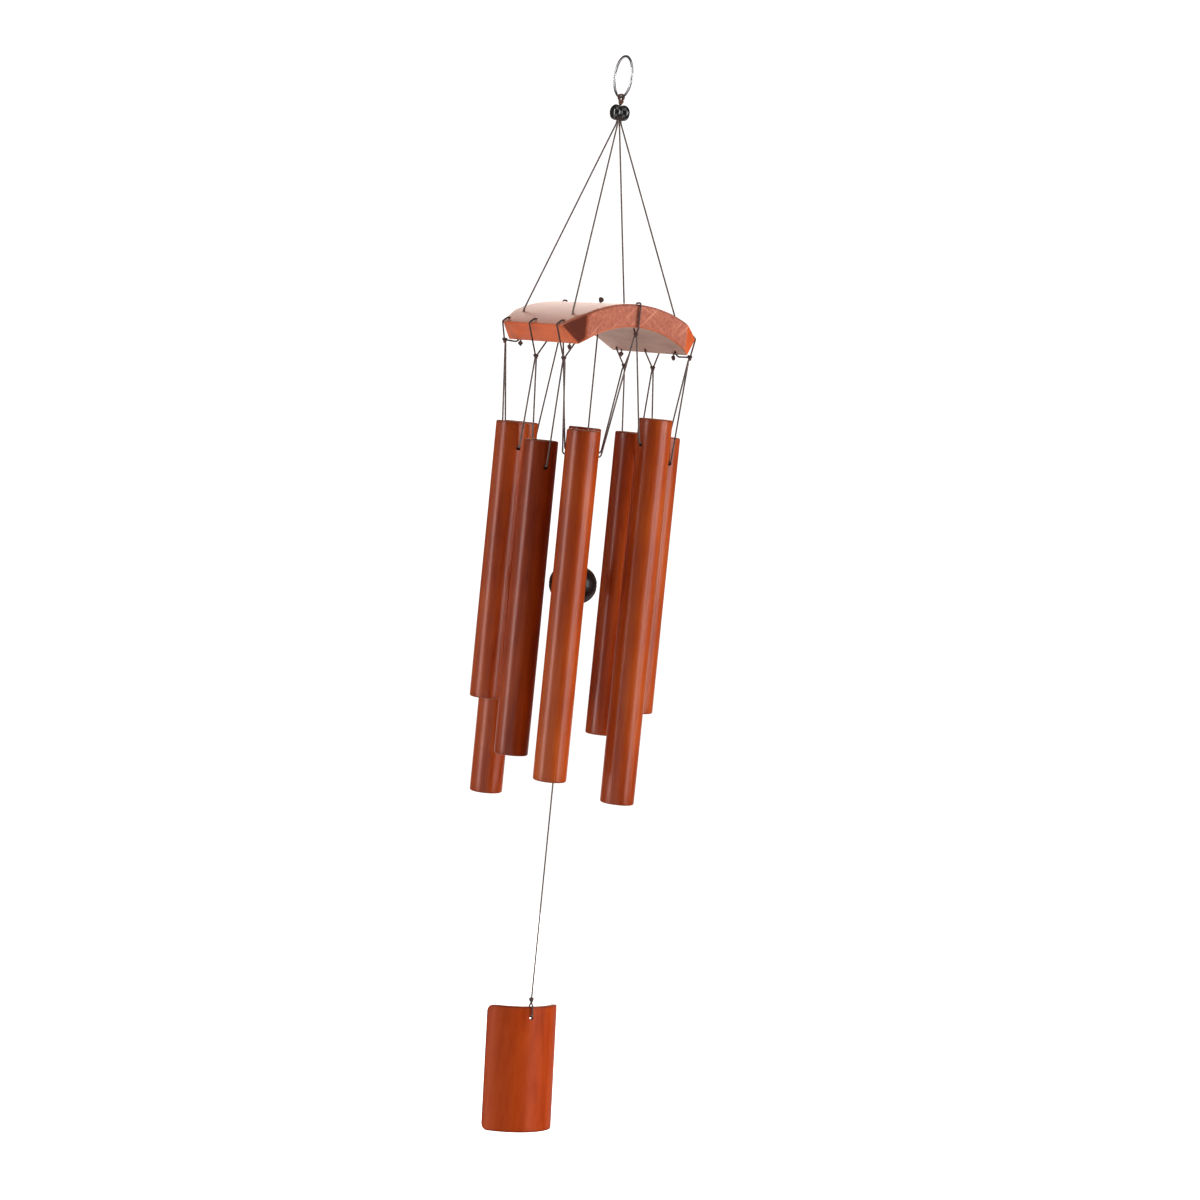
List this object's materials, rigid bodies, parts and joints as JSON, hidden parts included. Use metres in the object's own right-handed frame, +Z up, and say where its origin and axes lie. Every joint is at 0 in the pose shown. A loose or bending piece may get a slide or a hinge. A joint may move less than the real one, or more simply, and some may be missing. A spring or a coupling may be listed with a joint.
{
  "type": "wind chime",
  "caption": "Hanging bamboo wind chime: graduated tubes strung in a zigzag under an arched split-bamboo hanger, struck by a round clapper that a curved bamboo sail moves.",
  "frame": {"origin": "where a hook bears inside the top of the hanging ring", "axes": "+Z up, -Y the side of the plate's front end face, +X right seen from -Y"},
  "size_m": [0.1182, 0.133, 0.7619],
  "materials": {
    "steel": "bright wire",
    "lashing": "twisted cord",
    "bead": "gloss",
    "plate": "satin lacquer",
    "tube": "satin lacquer",
    "clapper": "dark stain",
    "sail": "satin lacquer",
    "knot": "twisted cord",
    "cord": "twisted cord"
  },
  "bodies": {
    "ring": {"hanging_ring": "steel"},
    "hitch": {"ring_hitch": "lashing"},
    "bead": {"top_bead": "bead"},
    "canopy": {"hanger_plate": "plate", "suspension_cord_1": "cord", "suspension_cord_2": "cord", "suspension_cord_3": "cord", "suspension_cord_4": "cord", "rim_loop_1": "knot", "rim_loop_2": "knot", "rim_loop_3": "knot", "rim_loop_4": "knot", "rim_loop_5": "knot", "rim_loop_6": "knot", "rim_loop_7": "knot", "rim_loop_8": "knot", "centre_knot": "knot"},
    "bridle_1": {"tube_cord_1": "cord"},
    "tube_1": {"chime_tube_1": "tube"},
    "bridle_2": {"tube_cord_2": "cord"},
    "tube_2": {"chime_tube_2": "tube"},
    "bridle_3": {"tube_cord_3": "cord"},
    "tube_3": {"chime_tube_3": "tube"},
    "bridle_4": {"tube_cord_4": "cord"},
    "tube_4": {"chime_tube_4": "tube"},
    "bridle_5": {"tube_cord_5": "cord"},
    "tube_5": {"chime_tube_5": "tube"},
    "bridle_6": {"tube_cord_6": "cord"},
    "tube_6": {"chime_tube_6": "tube"},
    "bridle_7": {"tube_cord_7": "cord"},
    "tube_7": {"chime_tube_7": "tube"},
    "bridle_8": {"tube_cord_8": "cord"},
    "tube_8": {"chime_tube_8": "tube"},
    "link": {"clapper_link": "cord"},
    "striker": {"clapper_cord": "cord", "clapper": "clapper"},
    "sail_line": {"sail_cord": "cord"},
    "sail_swivel": {"sail_knot": "knot"},
    "sail": {"sail_loop": "knot", "sail": "sail"}
  },
  "joints": [
    {"name": "hitch_swing", "type": "hinge", "parent": "ring", "child": "hitch", "pos_m": [0, 0, -0.0273], "axis": [0, 1, 0], "range_deg": [-20, 20]},
    {"name": "bead_swing", "type": "hinge", "parent": "hitch", "child": "bead", "pos_m": [0, 0, -0.03075], "axis": [1, 0, 0], "range_deg": [-20, 20]},
    {"name": "canopy_turn", "type": "hinge", "parent": "bead", "child": "canopy", "pos_m": [0, 0, -0.038], "axis": [0, 0, 1], "range_deg": [-90, 90]},
    {"name": "cord_swing_1", "type": "hinge", "parent": "canopy", "child": "bridle_1", "pos_m": [-0.04732, 0.02375, -0.20648], "axis": [0.0925, -0.9764, -0.1953], "range_deg": [-20, 7.5]},
    {"name": "cord_swing_2", "type": "hinge", "parent": "canopy", "child": "bridle_2", "pos_m": [-0.04507, -0.02375, -0.21123], "axis": [0, -1, 0], "range_deg": [-20, 7.5]},
    {"name": "cord_swing_3", "type": "hinge", "parent": "canopy", "child": "bridle_3", "pos_m": [-0.02253, -0.05475, -0.20061], "axis": [-0.8686, 0.2795, -0.4091], "range_deg": [-7.5, 20]},
    {"name": "cord_swing_4", "type": "hinge", "parent": "canopy", "child": "bridle_4", "pos_m": [0.02479, -0.05475, -0.19586], "axis": [-0.936, -0.2738, 0.2214], "range_deg": [-7.5, 20]},
    {"name": "cord_swing_5", "type": "hinge", "parent": "canopy", "child": "bridle_5", "pos_m": [0.04732, -0.02375, -0.20648], "axis": [0.0925, -0.9764, 0.1953], "range_deg": [-7.5, 20]},
    {"name": "cord_swing_6", "type": "hinge", "parent": "canopy", "child": "bridle_6", "pos_m": [0.04507, 0.02375, -0.21123], "axis": [0, -1, 0], "range_deg": [-7.5, 20]},
    {"name": "cord_swing_7", "type": "hinge", "parent": "canopy", "child": "bridle_7", "pos_m": [0.02253, 0.05475, -0.20061], "axis": [-0.8686, 0.2795, 0.4091], "range_deg": [-20, 7.5]},
    {"name": "cord_swing_8", "type": "hinge", "parent": "canopy", "child": "bridle_8", "pos_m": [-0.02479, 0.05475, -0.19586], "axis": [-0.936, -0.2738, -0.2214], "range_deg": [-20, 5.5]},
    {"name": "tube_rock_1", "type": "hinge", "parent": "bridle_1", "child": "tube_1", "pos_m": [-0.04732, 0.02375, -0.2755], "axis": [-0.0943, 0.9955, 0], "range_deg": [-9, 9]},
    {"name": "tube_rock_2", "type": "hinge", "parent": "bridle_2", "child": "tube_2", "pos_m": [-0.04507, -0.02375, -0.2855], "axis": [0, 1, 0], "range_deg": [-9, 9]},
    {"name": "tube_rock_3", "type": "hinge", "parent": "bridle_3", "child": "tube_3", "pos_m": [-0.02729, -0.05322, -0.2755], "axis": [0.9519, -0.3063, 0], "range_deg": [-9, 9]},
    {"name": "tube_rock_4", "type": "hinge", "parent": "bridle_4", "child": "tube_4", "pos_m": [0.02479, -0.05475, -0.2635], "axis": [0.9598, 0.2808, 0], "range_deg": [-9, 9]},
    {"name": "tube_rock_5", "type": "hinge", "parent": "bridle_5", "child": "tube_5", "pos_m": [0.04732, -0.02375, -0.2755], "axis": [-0.0943, 0.9955, 0], "range_deg": [-9, 9]},
    {"name": "tube_rock_6", "type": "hinge", "parent": "bridle_6", "child": "tube_6", "pos_m": [0.04507, 0.02375, -0.2755], "axis": [0, 1, 0], "range_deg": [-9, 9]},
    {"name": "tube_rock_7", "type": "hinge", "parent": "bridle_7", "child": "tube_7", "pos_m": [0.02253, 0.05475, -0.2755], "axis": [0.9519, -0.3063, 0], "range_deg": [-9, 9]},
    {"name": "tube_rock_8", "type": "hinge", "parent": "bridle_8", "child": "tube_8", "pos_m": [-0.02766, 0.05391, -0.2755], "axis": [0.9598, 0.2808, 0], "range_deg": [-9, 9]},
    {"name": "clapper_swing_y", "type": "hinge", "parent": "canopy", "child": "link", "pos_m": [0, 0, -0.18715], "axis": [-1, 0, 0], "range_deg": [-11, 11]},
    {"name": "clapper_swing_x", "type": "hinge", "parent": "link", "child": "striker", "pos_m": [0, 0, -0.19445], "axis": [0, -1, 0], "range_deg": [-8.5, 8.5]},
    {"name": "sail_line_swing", "type": "hinge", "parent": "striker", "child": "sail_line", "pos_m": [0, 0, -0.3837], "axis": [0, -1, 0], "range_deg": [-15, 15]},
    {"name": "sail_turn", "type": "hinge", "parent": "sail_line", "child": "sail_swivel", "pos_m": [0, 0, -0.665], "axis": [0, 0, 1], "range_deg": [-120, 120]},
    {"name": "sail_flap", "type": "hinge", "parent": "sail_swivel", "child": "sail", "pos_m": [0, 0, -0.665], "axis": [1, 0, 0], "range_deg": [-25, 25]}
  ]
}
